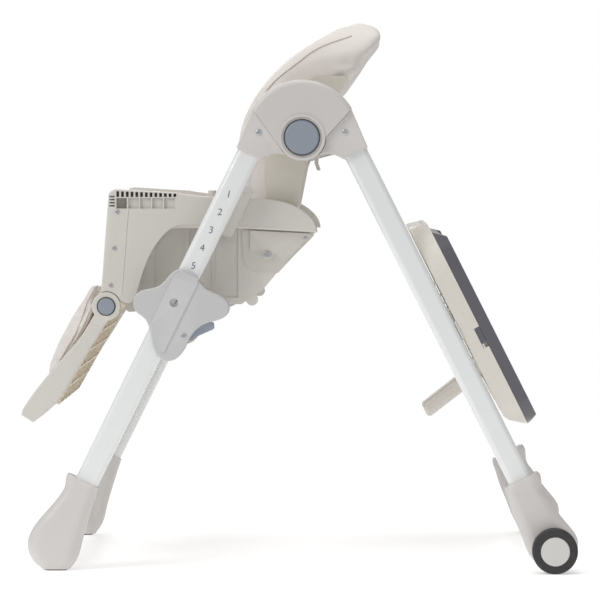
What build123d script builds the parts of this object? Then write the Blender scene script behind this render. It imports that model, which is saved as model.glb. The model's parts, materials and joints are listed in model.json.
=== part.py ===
from build123d import *
import math
import os

# Folding baby high chair. Millimetres, +Z up, the child faces -Y, +X is the child's left.
# Pieces are drawn about the folding axis (Y = 0) and standing on the floor (Z = 0), and
# saved moved back by HUB_Y, which puts the origin in the middle of the footprint.

# --- stance -----------------------------------------------------------------------------
HUB_Y = 6.0             # folding axis behind the middle of the footprint
HUB_Z = 642.0           # folding axis above the floor
DRAWN_Z = 642.0         # the same in the drawings
LIFT = HUB_Z - DRAWN_Z
FRONT, REAR = -1, 1     # which way a leg leans
LEAN = {FRONT: 26.3, REAR: 26.7}
LEG_X = 245.0           # middle of each leg from the centre plane
LEG_OFFSET = 60.5       # leg axis outside the folding axis
TUBE_DEPTH, TUBE_THICK, TUBE_CORNER, TUBE_WALL = 35.0, 22.0, 9.0, 1.6
TUBE_TOP = 4.0          # measures along a leg start beside the folding axis
JOINT = {FRONT: 432.0, REAR: 379.0}
FOOT_TOP = {FRONT: 600.0, REAR: 598.0}
TUBE_IN_FOOT = 42.0
SPIGOT = 40.0
FIT = 0.1               # clearance of pieces pushed together
RUN = 0.3               # clearance of pieces that slide
PIN_RUN = 0.06          # radial clearance of a turning pin

# --- folding hubs -----------------------------------------------------------------------
HUB_IN, HUB_OUT = LEG_X - 19.0, LEG_X + 23.0
HOUSING_R, HOUSING_CORNER, HOUSING_ROUND = 85.0, 30.0, 8.0
BOSS_R, BOSS_RING_R, BOSS_LIP = 35.0, 30.4, 1.5
SOCKET_IN, SOCKET_OUT, SOCKET_END, SOCKET_WALL = LEG_X - 16.5, LEG_X + 17.0, 56.5, 2.2
SEAM = 0.3
TONGUE_IN, TONGUE_OUT, TONGUE_R = LEG_X - 7.0, LEG_X + 7.0, 34.0
TONGUE_ROOM = 1.5
HOUSING_GAP = {FRONT: SEAM, REAR: 0.75}
AXLE_R, AXLE_HEAD_R, AXLE_HEAD = 8.0, 12.0, 2.6
HUB_BUTTON_R, HUB_BUTTON_FLOOR, HUB_BUTTON_TRAVEL = 26.3, LEG_X + 11.0, 5.0
HUB_BUTTON_GAP, HUB_BUTTON_DOME = 0.6, 4.0
RIVET_R, RIVET_HEAD_R, RIVET_HEAD, RIVET_ALONG = 3.0, 4.4, 1.8, 21.5

# --- feet and wheels --------------------------------------------------------------------
FOOT_IN, FOOT_OUT = LEG_X - 22.0, LEG_X + 22.0
BAR_R, BAR_WALL, BAR_IN_FOOT = 15.0, 1.6, 12.0
FRONT_BAR, REAR_BAR = (-370.0, 47.0), (350.0, 84.0)
PAD_Y, PAD_LENGTH, PAD_WIDTH, PAD_HEIGHT = -366.0, 32.0, 22.0, 6.0
WHEEL_Y, WHEEL_R, WHEEL_IN, WHEEL_WIDTH = 373.0, 33.4, FOOT_OUT + 2.5, 26.0
WHEEL_CAP_R, WHEEL_CAP_PROUD, WHEEL_AXLE_R, WHEEL_AXLE_IN = 21.5, 1.0, 4.0, LEG_X - 7.0

# --- seat -------------------------------------------------------------------------------
SEAT_TRAVEL = 177.0
SEAT_HALF, SEAT_WALL, SEAT_FLOOR, SEAT_TOP = LEG_X - 57.0, 4.0, 448.0, 507.0
SEAT_RIBS = 6
SEAT_PAD_TOP = 478.0
ARM_OUT = SEAT_HALF + 24.0
ARM_IN = SEAT_HALF + SEAM
LUG_OUT = ARM_OUT - 12.0 # where the arm's hinge lug ends and the footrest arm starts
BRACKET_IN, BRACKET_OUT, BRACKET_BAND = LEG_X - 16.0, LEG_X + 17.0, 1.6
BRACKET_TOP, BRACKET_END = 250.0, 386.0
CARRIAGE_OUT = LEG_X - 20.0
LEVER_PIVOT = (-174.7, 349.0)
LEVER_IN, LEVER_OUT, LEVER_PIN_R = LEG_X - 6.4, LEG_X + 10.4, 2.5
RECLINE_PIVOT = (-52.4, 467.4)
RECLINE_PIN_R, RECLINE_BOSS_R, PLATE_THICK, PLATE_BASE = 4.0, 5.6, 5.0, 2.0

# --- backrest ---------------------------------------------------------------------------
BACK_HALF, BACK_WALL, BACK_LUG_R = SEAT_HALF - 6.0, 4.0, 14.0
HEAD_HALF, HEAD_TOP, HEAD_CORNER = SEAT_HALF - 38.0, 822.0, 70.0
WING_IN = BACK_HALF - 64.0 # inner face of the side bolsters
STRAP_X, STRAP_WIDTH, STRAP_THICK = 52.0, 25.0, 2.0
HANDLE_HALF, HANDLE_PIVOT, HANDLE_PIN_R = 42.0, (19.5, 626.0), 2.5

# --- legrest ----------------------------------------------------------------------------
LEGREST_PIVOT = (-293.0, 390.6)
LEGREST_DISC_R, LEGREST_PIN_R = 21.5, 5.0
LEGREST_ARM_OUT = ARM_OUT + 2.0
LEGREST_BUTTON_R, LEGREST_BUTTON_DEPTH = 12.7, 7.0
PANEL_HALF = SEAT_HALF - 4.0
PANEL_TOP, PANEL_END = (-290.0, 377.0), (-366.5, 241.7)
PANEL_THICK, PANEL_SKIN, PANEL_BAYS = 20.0, 3.0, 5

# --- tray, hung on the back of the rear legs ---------------------------------------------
TRAY_START, TRAY_END = 192.0, 531.0     # along the rear legs
TRAY_UNDER, TRAY_SPLIT, TRAY_FACE = 81.0, 108.5, 126.0   # outside the folding axis
TRAY_HALF, TRAY_CORNER, TRAY_WALL = LEG_X + 5.0, 85.0, 4.0
LATCH_ALONG, LATCH_LENGTH, LATCH_DEPTH, LATCH_TRAVEL = 379.0, 24.0, 8.5, 8.0
BELLY_DEPTH, BELLY_HALF = 62.0, 140.0
POST_FOOT, POST_TIP = (435.0, 103.5), (460.5, -23.0)     # along the rear legs and outward
POST_DEPTH, POST_THICK = 25.5, 32.0


# ----------------------------------------------------------------------- shared geometry
def polar(radius, degrees):
    """A point round the folding axis, at an angle from +Y towards +Z."""
    turn = math.radians(degrees)
    return radius * math.cos(turn), DRAWN_Z + radius * math.sin(turn)


def leg_point(leg, along, out):
    """A point in the side plane: along a leg from the hub, and out from the folding axis."""
    lean = math.radians(LEAN[leg])
    y = leg * (along * math.sin(lean) + out * math.cos(lean))
    z = DRAWN_Z - along * math.cos(lean) + out * math.sin(lean)
    return y, z


def leg_plane(leg, along):
    """The plane across a leg: local x is +X, local z runs down the leg."""
    lean = math.radians(LEAN[leg])
    y, z = leg_point(leg, along, LEG_OFFSET)
    return Plane(origin=(0, y, z), x_dir=(1, 0, 0), z_dir=(0, leg * math.sin(lean), -math.cos(lean)))


def side_face(points, radius=0.0):
    """A closed outline in the side plane, its corners rounded by one radius."""
    if radius:
        return make_face(FilletPolyline(*points, radius=radius, close=True))
    return make_face(Polyline(*points, close=True))


def curved_face(*runs):
    """A closed outline in the side plane: a run of two points is straight, a longer one a curve."""
    return make_face([Line(*run) if len(run) == 2 else Spline(*run) for run in runs])


def across(face, start, end):
    """A side-plane face carried across the chair from X = start to X = end."""
    return extrude(Plane.YZ.offset(start) * face, end - start, dir=(1, 0, 0))


def disc(centre, radius, start, end):
    """A round bar along X about a point of the side plane."""
    return across(Pos(*centre) * Circle(radius), start, end)


def leg_bar(leg, start, end, grow=0.0):
    """The solid outer shape of a leg tube between two distances along the leg."""
    section = RectangleRounded(TUBE_THICK + 2 * grow, TUBE_DEPTH + 2 * grow, TUBE_CORNER + grow)
    return extrude(leg_plane(leg, start) * Pos(LEG_X, 0) * section, end - start)


def box_at(x, y, z):
    """A box from three (low, high) pairs."""
    size = [high - low for low, high in (x, y, z)]
    middle = [(high + low) / 2 for low, high in (x, y, z)]
    return Pos(*middle) * Box(*size)


def rim(part, side=-1):
    """The edges of the face furthest along X, or nearest with side 0."""
    return part.faces().sort_by(Axis.X)[side].edges()


def rivet(centre, start, end, radius=RIVET_R):
    """A rivet along X with a flat head before start and a low domed one past end."""
    head = disc(centre, RIVET_HEAD_R, end, end + RIVET_HEAD)
    shank = disc(centre, radius, start, end) + fillet(rim(head), RIVET_HEAD * 0.8)
    return shank + disc(centre, RIVET_HEAD_R, start - RIVET_HEAD, start)


def mirrored(part):
    return mirror(part, about=Plane.YZ)


def save(name, *solids, foot=0):
    """One node, moved into place: up with the hubs, or out with the feet of one pair of legs."""
    spread = foot * LIFT * math.tan(math.radians(LEAN[foot])) if foot else 0.0
    placed = [Pos(0, HUB_Y + spread, 0 if foot else LIFT) * solid for solid in solids]
    shape = placed[0] if len(placed) == 1 else Compound(children=placed)
    export_step(shape, f"parts/{name}.step")


def save_pair(name, part, foot=0):
    save(f"{name}_left", part, foot=foot)
    save(f"{name}_right", mirrored(part), foot=foot)


# ---------------------------------------------------------------------------------- legs
def upper_tube(leg):
    """The upper half of a leg, its end coped to the hub housing."""
    tube = leg_bar(leg, TUBE_TOP, JOINT[leg]) - leg_bar(leg, TUBE_TOP, JOINT[leg], -TUBE_WALL)
    tube -= across(housing_face(HOUSING_GAP[leg]), HUB_IN - 1, HUB_OUT)
    return tube - disc(leg_point(leg, RIVET_ALONG, LEG_OFFSET), RIVET_R, HUB_IN, HUB_OUT)


def lower_tube(leg):
    """The lower half of a leg, with the spigot that plugs into the upper half."""
    end = FOOT_TOP[leg] + TUBE_IN_FOOT + LIFT / math.cos(math.radians(LEAN[leg]))
    start = JOINT[leg]
    tube = leg_bar(leg, start, end)
    tube += leg_bar(leg, start - SPIGOT, start, -TUBE_WALL - FIT)
    return tube - leg_bar(leg, start - SPIGOT, end, -2 * TUBE_WALL - FIT)


def joint_screws(leg):
    """The screw on the inner face of each leg that keeps its two halves together."""
    y, z = leg_point(leg, JOINT[leg] - SPIGOT / 2, LEG_OFFSET)
    face = LEG_X - TUBE_THICK / 2
    head = disc((y, z), RIVET_HEAD_R, face - RIVET_HEAD, face)
    return [head, mirrored(head)]


# ---------------------------------------------------------------------------------- hubs
def housing_face(grow=0.0):
    """The fan-shaped cap and round boss of a hub, seen from the side."""
    rear_corner = polar(HOUSING_R, HOUSING_CORNER)
    front_corner = polar(HOUSING_R, 180 - HOUSING_CORNER)
    seam_foot = polar(BOSS_R, 180 + HOUSING_CORNER)
    edge = BOSS_R, DRAWN_Z
    fan = make_face([
        ThreePointArc(rear_corner, polar(HOUSING_R, 90), front_corner),
        Line(front_corner, seam_foot),
        Line(seam_foot, edge),
        Line(edge, rear_corner),
    ])
    face = fan + Pos(0, DRAWN_Z) * Circle(BOSS_R)
    return offset(face, grow) if grow else face


def hub_housing():
    housing = across(housing_face(), HUB_IN, HUB_OUT)
    housing = fillet(rim(housing).sort_by(Edge.length)[-1], HOUSING_ROUND)
    hub = (0, DRAWN_Z)
    housing += disc(hub, BOSS_R - 1, HUB_OUT - 4, HUB_OUT + BOSS_LIP)
    housing -= disc(hub, HUB_BUTTON_R + HUB_BUTTON_GAP, HUB_BUTTON_FLOOR, HUB_OUT + 2 * BOSS_LIP)
    housing -= disc(hub, BOSS_RING_R, HUB_OUT, HUB_OUT + 2 * BOSS_LIP)
    housing -= disc(hub, TONGUE_R + TONGUE_ROOM, TONGUE_IN - RUN, TONGUE_OUT + RUN)
    return housing - disc(hub, AXLE_R, HUB_IN, TONGUE_OUT + 2)


def hub_axle():
    axle = disc((0, DRAWN_Z), AXLE_R, HUB_IN, TONGUE_OUT + 2)
    return axle + disc((0, DRAWN_Z), AXLE_HEAD_R, HUB_IN - AXLE_HEAD, HUB_IN)


def hub_button():
    hub = (0, DRAWN_Z)
    start = HUB_BUTTON_FLOOR + HUB_BUTTON_TRAVEL + 2 * RUN
    button = disc(hub, HUB_BUTTON_R, start, HUB_OUT + 2)
    return fillet(rim(button), HUB_BUTTON_DOME)


def socket_face(leg):
    """A leg socket: from the seam down round the tube end and back to the boss."""
    corner = polar(HOUSING_R - 1, 90 - leg * (90 - HOUSING_CORNER))
    half = TUBE_DEPTH / 2 + SOCKET_WALL
    outer = leg_point(leg, SOCKET_END, LEG_OFFSET + half)
    inner = leg_point(leg, SOCKET_END, LEG_OFFSET - half)
    crotch = polar(BOSS_R - 1, -90 + leg * 35)
    return curved_face(
        [corner, outer],
        [outer, inner],
        [inner, (leg * 51.0, DRAWN_Z - 27.0), (leg * 40.0, DRAWN_Z - 23.8), (leg * 29.0, DRAWN_Z - 25.0),
         crotch],
        [crotch, (0, DRAWN_Z)],
        [(0, DRAWN_Z), corner],
    )


def leg_socket(leg):
    socket = across(socket_face(leg), SOCKET_IN, SOCKET_OUT)
    socket = fillet(rim(socket), 2.0)
    socket -= across(housing_face(HOUSING_GAP[leg]), HUB_IN - 1, HUB_OUT)
    socket -= disc((0, DRAWN_Z), TONGUE_R + TONGUE_ROOM, HUB_IN, HUB_OUT)
    if leg == REAR:
        socket += rear_tongue()
    socket -= leg_bar(leg, TUBE_TOP, SOCKET_END + 1)
    return socket - disc(leg_point(leg, RIVET_ALONG, LEG_OFFSET), RIVET_R, HUB_IN, HUB_OUT)


def rear_tongue():
    """The disc of the rear socket that turns inside the hub housing."""
    neck = make_face(Polyline((0, DRAWN_Z), (46, DRAWN_Z - 3), (46, DRAWN_Z - 23), (20, DRAWN_Z - 30),
                              close=True))
    tongue = across(neck + Pos(0, DRAWN_Z) * Circle(TONGUE_R), TONGUE_IN, TONGUE_OUT)
    return tongue - disc((0, DRAWN_Z), AXLE_R + PIN_RUN, TONGUE_IN, TONGUE_OUT)


def hub_rivet(leg):
    return rivet(leg_point(leg, RIVET_ALONG, LEG_OFFSET), SOCKET_IN, SOCKET_OUT)


# ---------------------------------------------------------------------------------- feet
def foot_blank(leg, sections):
    """A bulbous foot through level sections: height, front, back and half the thickness."""
    slices = []
    for z, front, back, half in sections:
        outline = RectangleRounded(2 * half, back - front, 0.92 * half)
        slices.append(Plane.XY.offset(z) * Pos(LEG_X, (front + back) / 2) * outline)
    blank = loft(slices)
    top = FOOT_TOP[leg]
    blank -= extrude(leg_plane(leg, top - 80) * Pos(LEG_X, 0) * Rectangle(90, 140), 80)
    return blank - leg_bar(leg, top - 20, top + TUBE_IN_FOOT)


def crossbar(centre):
    end = FOOT_IN + BAR_IN_FOOT
    return disc(centre, BAR_R, -end, end) - disc(centre, BAR_R - BAR_WALL, -end, end)


def front_foot():
    foot = foot_blank(FRONT, [
        (2, -386, -345, 15), (12, -398, -337, 19), (30, -407.5, -329.5, 22), (47, -407, -325.5, 22),
        (62, -400.5, -321.5, 21.5), (77, -389.5, -317, 20.5), (93, -375.5, -312, 19),
        (109, -362, -307, 17.5),
        (126, -352.5, -300.5, 16.5), (150, -341, -291, 16),
    ])
    foot -= front_pad()
    return foot - disc(FRONT_BAR, BAR_R, FOOT_IN, FOOT_IN + BAR_IN_FOOT)


def front_pad():
    pad = box_at(
        (LEG_X - PAD_WIDTH / 2, LEG_X + PAD_WIDTH / 2),
        (PAD_Y - PAD_LENGTH / 2, PAD_Y + PAD_LENGTH / 2),
        (0, PAD_HEIGHT),
    )
    return fillet(pad.edges().filter_by(Axis.Z), 8.0)


def rear_foot():
    foot = foot_blank(REAR, [
        (10, 352, 394, 17), (16, 343, 401, 19.5), (28, 335, 407, 21.5), (42, 329, 409.4, 22),
        (55, 324, 405, 22), (69, 318, 394, 21.5), (92, 309.5, 376, 20), (108, 304.5, 365, 18),
        (122, 301, 356, 17), (150, 292, 339, 16),
    ])
    foot -= disc(REAR_BAR, BAR_R, FOOT_IN, FOOT_IN + BAR_IN_FOOT)
    return foot - disc((WHEEL_Y, WHEEL_R), WHEEL_AXLE_R, WHEEL_AXLE_IN, FOOT_OUT)


def wheel_axle():
    centre = (WHEEL_Y, WHEEL_R)
    axle = disc(centre, WHEEL_AXLE_R, WHEEL_AXLE_IN, WHEEL_IN + WHEEL_WIDTH - 6)
    return axle + disc(centre, 2 * WHEEL_AXLE_R, FOOT_OUT, WHEEL_IN - RUN)


def tyre():
    centre = (WHEEL_Y, WHEEL_R)
    ring = disc(centre, WHEEL_R, WHEEL_IN, WHEEL_IN + WHEEL_WIDTH)
    ring = fillet(ring.edges(), 4.0)
    return ring - disc(centre, WHEEL_CAP_R, WHEEL_IN, WHEEL_IN + WHEEL_WIDTH)


def wheel_cap():
    """The light wheel centre: a disc with a shallow dish and a blind bore for the axle."""
    centre = (WHEEL_Y, WHEEL_R)
    face = WHEEL_IN + WHEEL_WIDTH + WHEEL_CAP_PROUD
    cap = disc(centre, WHEEL_CAP_R, WHEEL_IN, face)
    cap = fillet(rim(cap), 2.0)
    return cap - disc(centre, WHEEL_AXLE_R + PIN_RUN, WHEEL_IN, WHEEL_IN + WHEEL_WIDTH - 5)


# ------------------------------------------------------------------- seat and its sliders
def slider_bracket():
    """The four-lobed slider: a sleeve round the front leg, with a raised band along it."""
    lobes = make_face(Spline(*[leg_point(FRONT, along, out) for along, out in [
        (258, 80), (250, 67), (251, 53), (259.5, 38), (263.5, 22), (263, 5), (268, -10.5), (281, -17),
        (295, -10), (308, 4.5), (323, 14), (343, 17.5), (364, 18), (379, 24.5), (385.5, 38), (380, 54),
        (367, 66), (353, 77), (343, 90), (339, 106), (328, 116), (313, 116), (302, 105), (292, 94),
        (276, 87),
    ]], periodic=True))
    bracket = across(lobes, BRACKET_IN, BRACKET_OUT)
    bracket = fillet(rim(bracket), 2.5)
    half = TUBE_DEPTH / 2 + 1.5
    band = side_face([
        leg_point(FRONT, BRACKET_TOP + 4, LEG_OFFSET - half + 3),
        leg_point(FRONT, BRACKET_TOP + 4, LEG_OFFSET + half - 7),
        leg_point(FRONT, BRACKET_TOP + 18, LEG_OFFSET + half),
        leg_point(FRONT, BRACKET_END - 39, LEG_OFFSET + half),
        leg_point(FRONT, BRACKET_END - 7, LEG_OFFSET - half + 6),
        leg_point(FRONT, BRACKET_END - 12, LEG_OFFSET - half),
        leg_point(FRONT, BRACKET_TOP + 12, LEG_OFFSET - half),
    ], 2.5)
    raised = across(band, BRACKET_OUT - 3, BRACKET_OUT + BRACKET_BAND)
    bracket += fillet(rim(raised), 1.3)
    bracket -= leg_bar(FRONT, BRACKET_TOP - 20, BRACKET_END + 50, RUN)
    bracket -= disc(leg_point(FRONT, 302.5, 61.4), 6.4, LEG_X, BRACKET_OUT + 5)
    room = side_face([(-192, 356), (-178, 328), (-96, 350), (-112, 392), (-160, 376)])
    bracket -= across(room, LEVER_IN - RUN, LEVER_OUT + RUN)
    return bracket - disc(LEVER_PIVOT, LEVER_PIN_R, BRACKET_IN, BRACKET_OUT)


def height_lever():
    """The squeeze lever under the rear lobe of a slider."""
    shape = side_face([
        (-184, 352), (-176, 336), (-156, 347.5), (-130, 359), (-131, 369), (-150, 367), (-172, 362),
    ], 3.0)
    lever = across(shape, LEVER_IN, LEVER_OUT)
    return lever - disc(LEVER_PIVOT, LEVER_PIN_R + PIN_RUN, LEVER_IN, LEVER_OUT)


def slider_carriage():
    """The strip inside the front leg that carries the arm and runs with the slider."""
    top, end = 109.0, 345.0
    back, face = LEG_OFFSET - 31, LEG_OFFSET + 14
    head_r = 9.0
    head = leg_point(FRONT, top, back + head_r)
    hidden = LEG_OFFSET - 14.5
    strip = side_face([
        leg_point(FRONT, top, back), leg_point(FRONT, top, back + 2 * head_r),
        leg_point(FRONT, 148, back + 2 * head_r), leg_point(FRONT, 168, face),
        leg_point(FRONT, end, face), leg_point(FRONT, end, hidden),
        leg_point(FRONT, 184, hidden), leg_point(FRONT, 179, back),
    ])
    carriage = across(strip + Pos(*head) * Circle(head_r), ARM_OUT, CARRIAGE_OUT)
    carriage -= disc(head, 3.0, ARM_OUT, CARRIAGE_OUT)
    block = side_face([
        leg_point(FRONT, 266, hidden + 2), leg_point(FRONT, 266, face),
        leg_point(FRONT, 335, face), leg_point(FRONT, 335, hidden + 2),
    ])
    return carriage + across(block, CARRIAGE_OUT, BRACKET_IN)


def lever_pin():
    return rivet(LEVER_PIVOT, BRACKET_IN, BRACKET_OUT, LEVER_PIN_R)


def armrest():
    """An arm: the long top rail, the front post down to the legrest hinge and its lug."""
    rail = curved_face(
        [(-301, 409), (-290, 551)],
        [(-290, 551), (-287.3, 561), (-278, 565.5)],
        [(-278, 565.5), (-189, 560.3)],
        [(-189, 560.3), (-110, 553.6), (-60, 551.2), (-26, 545.8), (2, 532), (18.5, 514), (22, 501)],
        [(22, 501), (-174, 511.7)],
        [(-174, 511.7), (-194, 507), (-212, 491), (-237, 443), (-247, 409)],
        [(-247, 409), (-252, 399), (-265, 396)],
        [(-265, 396), (-301, 409)],
    )
    arm = across(rail, ARM_IN, ARM_OUT)
    arm = fillet(rim(arm), 2.0)
    arm = arm - disc(LEGREST_PIVOT, LEGREST_DISC_R + 1.0, LUG_OUT, ARM_OUT + 1)
    arm += disc(LEGREST_PIVOT, LEGREST_DISC_R - 3, ARM_IN, LUG_OUT)
    arm += disc(LEGREST_PIVOT, LEGREST_PIN_R, PANEL_HALF - 8, LUG_OUT + 6)
    outside = ARM_OUT - 16, ARM_OUT + 1
    for slot in range(13):
        y = -277.6 + 7.1 * slot
        arm -= box_at(outside, (y, y + 4.2), (553.8, 562.4 - 0.3 * slot))
    for window in range(5):
        y = -277.6 + 17.9 * window
        arm -= box_at((ARM_OUT - (4 if window else 16), ARM_OUT + 1), (y, y + 15.6), (536.5, 552.2))
    for slit in range(4):
        z = 539.5 + 4.6 * slit
        arm -= box_at(outside, (-296, -280), (z, z + 2.2))
    seam = side_face([(-259.6, 535), (-258.8, 535), (-268.9, 407), (-269.7, 407)])
    arm -= across(seam, ARM_OUT - 0.8, ARM_OUT + 1)
    knob = Pos((ARM_IN + ARM_OUT) / 2, -135.0, 557.5) * Cylinder(6.0, 12.0)
    return arm + knob


def arm_screws():
    """Three screw heads up the front post of an arm, and one on the recline plate behind."""
    post = [(-276.0, 531.5), (-280.5, 477.5), (-286.0, 422.0)]
    heads = [disc(at, 3.6, ARM_OUT, ARM_OUT + 1.2) for at in post]
    plate = ARM_IN + PLATE_THICK
    return [fillet(rim(head), 0.9) for head in [*heads, disc((4.0, 492.5), 2.8, plate, plate + 1.2)]]


def seat_shell():
    """The seat tub: a well open above and behind, over a ribbed bucket open below."""
    outer = [
        (-246, SEAT_TOP), (-243, 470), (-252, 430), (-266, 397), (-264, 381), (-112, 393), (-92, 393),
        (-60.5, 414), (-38, 441), (17, 496), (14, SEAT_TOP),
    ]
    shell = across(side_face(outer, 5.0), -SEAT_HALF, SEAT_HALF)
    inner = SEAT_HALF - SEAT_WALL
    rear = -64.0
    well = side_face([
        (-240, SEAT_TOP + 5), (-234, SEAT_FLOOR), (rear, SEAT_FLOOR), (rear, 380), (60, 380),
        (60, SEAT_TOP + 5),
    ])
    shell -= across(well, -inner, inner)
    pockets = side_face([
        (-238, SEAT_FLOOR - SEAT_WALL), (-246, 428), (-259, 400), (-259, 370), (-72, 370),
        (rear - 4, SEAT_FLOOR - SEAT_WALL),
    ])
    pitch = 2 * inner / SEAT_RIBS
    for bay in range(SEAT_RIBS):
        start = -inner + pitch * bay + SEAT_WALL / 2
        shell -= across(pockets, start, start + pitch - SEAT_WALL)
    for side in (-1, 1):
        shell += disc((-76, 400), 9.0, side * inner, side * SEAT_HALF)
        for y0, y1, z0, z1 in ((-221, -176, 399, 510), (-170, -136, 400, 510), (-131, -97, 403, 510)):
            panel = side_face([(y0 - 3, z0), (y0, z1), (y1, z1), (y1, z0)])
            shell -= across(panel, side * (SEAT_HALF - 1.6), side * (SEAT_HALF + 1))
        shell -= disc(RECLINE_PIVOT, RECLINE_PIN_R, side * inner, side * SEAT_HALF)
    return shell


def recline_plate():
    """The plate outside the seat wall that carries the backrest's pivot."""
    base = side_face([(-91, 504), (-90, 462), (-83, 448), (-70, 442), (-37, 440), (13, 494), (13, 499)],
                     2.0)
    top = side_face([
        (-79, 503.5), (-79, 474), (-61, 474), (-57.5, 460), (-47, 460), (-42, 468.5), (-27, 456), (11, 496),
        (11, 499),
    ], 1.5)
    plate = across(base, ARM_IN, ARM_IN + PLATE_BASE) + across(top, ARM_IN, ARM_IN + PLATE_THICK)
    return plate - disc(RECLINE_PIVOT, RECLINE_PIN_R, ARM_IN, ARM_OUT)


def recline_pivot():
    start = BACK_HALF - BACK_WALL
    end = ARM_IN + PLATE_THICK
    pin = disc(RECLINE_PIVOT, RECLINE_PIN_R, start, end)
    return pin + fillet(rim(disc(RECLINE_PIVOT, RECLINE_BOSS_R, end, end + 3)), 1.2)


def seat_pad():
    inner = SEAT_HALF - SEAT_WALL - 2 * RUN
    shape = side_face([
        (-233, 500), (-231, SEAT_FLOOR + RUN), (-70, SEAT_FLOOR + RUN), (-66, SEAT_PAD_TOP),
        (-205, SEAT_PAD_TOP), (-222, 500),
    ], 4.0)
    return across(shape, -inner, inner)


def lap_harness():
    """The crotch strap and two lap straps lying on the seat pad, meeting at the buckle."""
    base = SEAT_PAD_TOP + RUN
    crotch = box_at((-13, 13), (-170, -126), (base, base + STRAP_THICK))
    laps = [box_at((min(s * 22, s * 160), max(s * 22, s * 160)), (-122, -97), (base, base + STRAP_THICK))
            for s in (-1, 1)]
    return [crotch, *laps]


def buckle():
    base = SEAT_PAD_TOP + RUN
    body = box_at((-21.5, 21.5), (-125.5, -92), (base, base + 12.5))
    return fillet(body.edges().filter_by(Axis.Z), 7.0)


# ------------------------------------------------------------------------------ backrest
SHELL_REAR = [(-30, 472), (-9, 538), (2.5, 597), (25, 655), (56, 711), (70, 735)]
BACK_LINE = [(-40, 470), (-28, 600), (-8, 662), (22, 716), (70, 775)]
SHELL_FRONT = [(20, 735), (-34, 700), (-60, 655), (-56, 618), (-56, 500), (-66, 472)]


def back_line(z):
    """How far back the recess lies at a height."""
    for (y0, z0), (y1, z1) in zip(BACK_LINE, BACK_LINE[1:]):
        if z0 <= z <= z1:
            return y0 + (y1 - y0) * (z - z0) / (z1 - z0)
    raise ValueError(f"height {z} is outside the backrest's recess")


def back_silhouette():
    """The side outline of the whole padded backrest."""
    return curved_face(
        [(-66, 484), (-26, 484)],
        [(-26, 484), (-9, 538), (2.5, 597), (25, 655), (56, 711)],
        [(56, 711), (70, 731), (84, 751), (97, 771), (112, 789), (117, 800), (112, 810), (99, 817),
         (78, 820.5),
         (58, 816), (35, 803), (3, 781.5), (-28, 756), (-56, 727), (-77, 697), (-90, 668), (-97, 634)],
        [(-97, 634), (-76, 560), (-71, 500), (-66, 484)],
    )


def shell_solid(gap=0.0):
    """The moulded back: a rear wall and two side walls, grown by a gap when it is a cutter."""
    body = side_face(SHELL_REAR + SHELL_FRONT, 5.0)
    body = offset(body, gap) if gap else body
    walls = across(body, -BACK_HALF - gap, BACK_HALF + gap)
    room = side_face([(y - BACK_WALL - gap, z + 1) for y, z in SHELL_REAR] + [(66, 790), (-150, 790),
                                                                              (-150, 440), (-40, 440)])
    inner = BACK_HALF - BACK_WALL - gap
    return walls - across(room, -inner, inner)


def back_shell():
    shell = shell_solid()
    for side in (-1, 1):
        lug = disc(RECLINE_PIVOT, BACK_LUG_R, side * (BACK_HALF - BACK_WALL), side * BACK_HALF)
        shell += lug
        shell -= disc(RECLINE_PIVOT, RECLINE_PIN_R + PIN_RUN, side * (BACK_HALF - BACK_WALL),
                      side * BACK_HALF)
        ear = side_face([(14.5, 636), (HANDLE_PIVOT[0] + 5, 636), (HANDLE_PIVOT[0] + 5, 620), (6.5, 612)])
        ear_in = side * (HANDLE_HALF + RUN)
        shell += across(ear, ear_in, ear_in + side * 5)
    return shell


def front_view(half, top_half, top, corner, base):
    """A block along Y with the front-view outline: straight sides leaning in to a round top."""
    bend = 640.0
    outline = Polyline((-half, base), (half, base), (half, bend), (top_half, top), (-top_half, top),
                       (-half, bend),
                       close=True)
    face = make_face(outline)
    face = fillet(face.vertices().group_by(Axis.Y)[-1], corner)
    return extrude(Plane.XZ.offset(-300) * face, 600)


def back_pad():
    """The padded back: side bolsters round a recess, reaching over the shell's top."""
    half = BACK_HALF - BACK_WALL - 2 * RUN
    pad = across(back_silhouette(), -half, half)
    pad &= front_view(half, HEAD_HALF, HEAD_TOP, HEAD_CORNER, 480)
    pad -= shell_solid(RUN)
    recess = side_face([(-160, 470), *BACK_LINE, (64, 835), (-160, 835)], 10.0)
    pad -= across(recess, -WING_IN, WING_IN)
    return pad.solids().sort_by(SortBy.VOLUME)[-1]


def shoulder_straps():
    """Two flat straps lying up the recess of the backrest."""
    line = [(back_line(z) - 3 * RUN, z) for z in (510, 600, 655)]
    strip = side_face(line + [(y - STRAP_THICK, z) for y, z in reversed(line)])
    low = STRAP_X - STRAP_WIDTH / 2
    left = across(strip, low, low + STRAP_WIDTH)
    return [left, mirrored(left)]


def recline_handle():
    """The pull handle behind the backrest, hung from its top edge."""
    y, z = HANDLE_PIVOT
    plate = side_face([(y - 2.5, z + 4), (y + 2.5, z + 4), (y + 1, z - 22), (y + 5, z - 33), (y, z - 33),
                       (y - 4, z - 22)], 1.2)
    handle = across(plate, -HANDLE_HALF, HANDLE_HALF)
    return handle + disc(HANDLE_PIVOT, HANDLE_PIN_R, -HANDLE_HALF, HANDLE_HALF)


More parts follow.
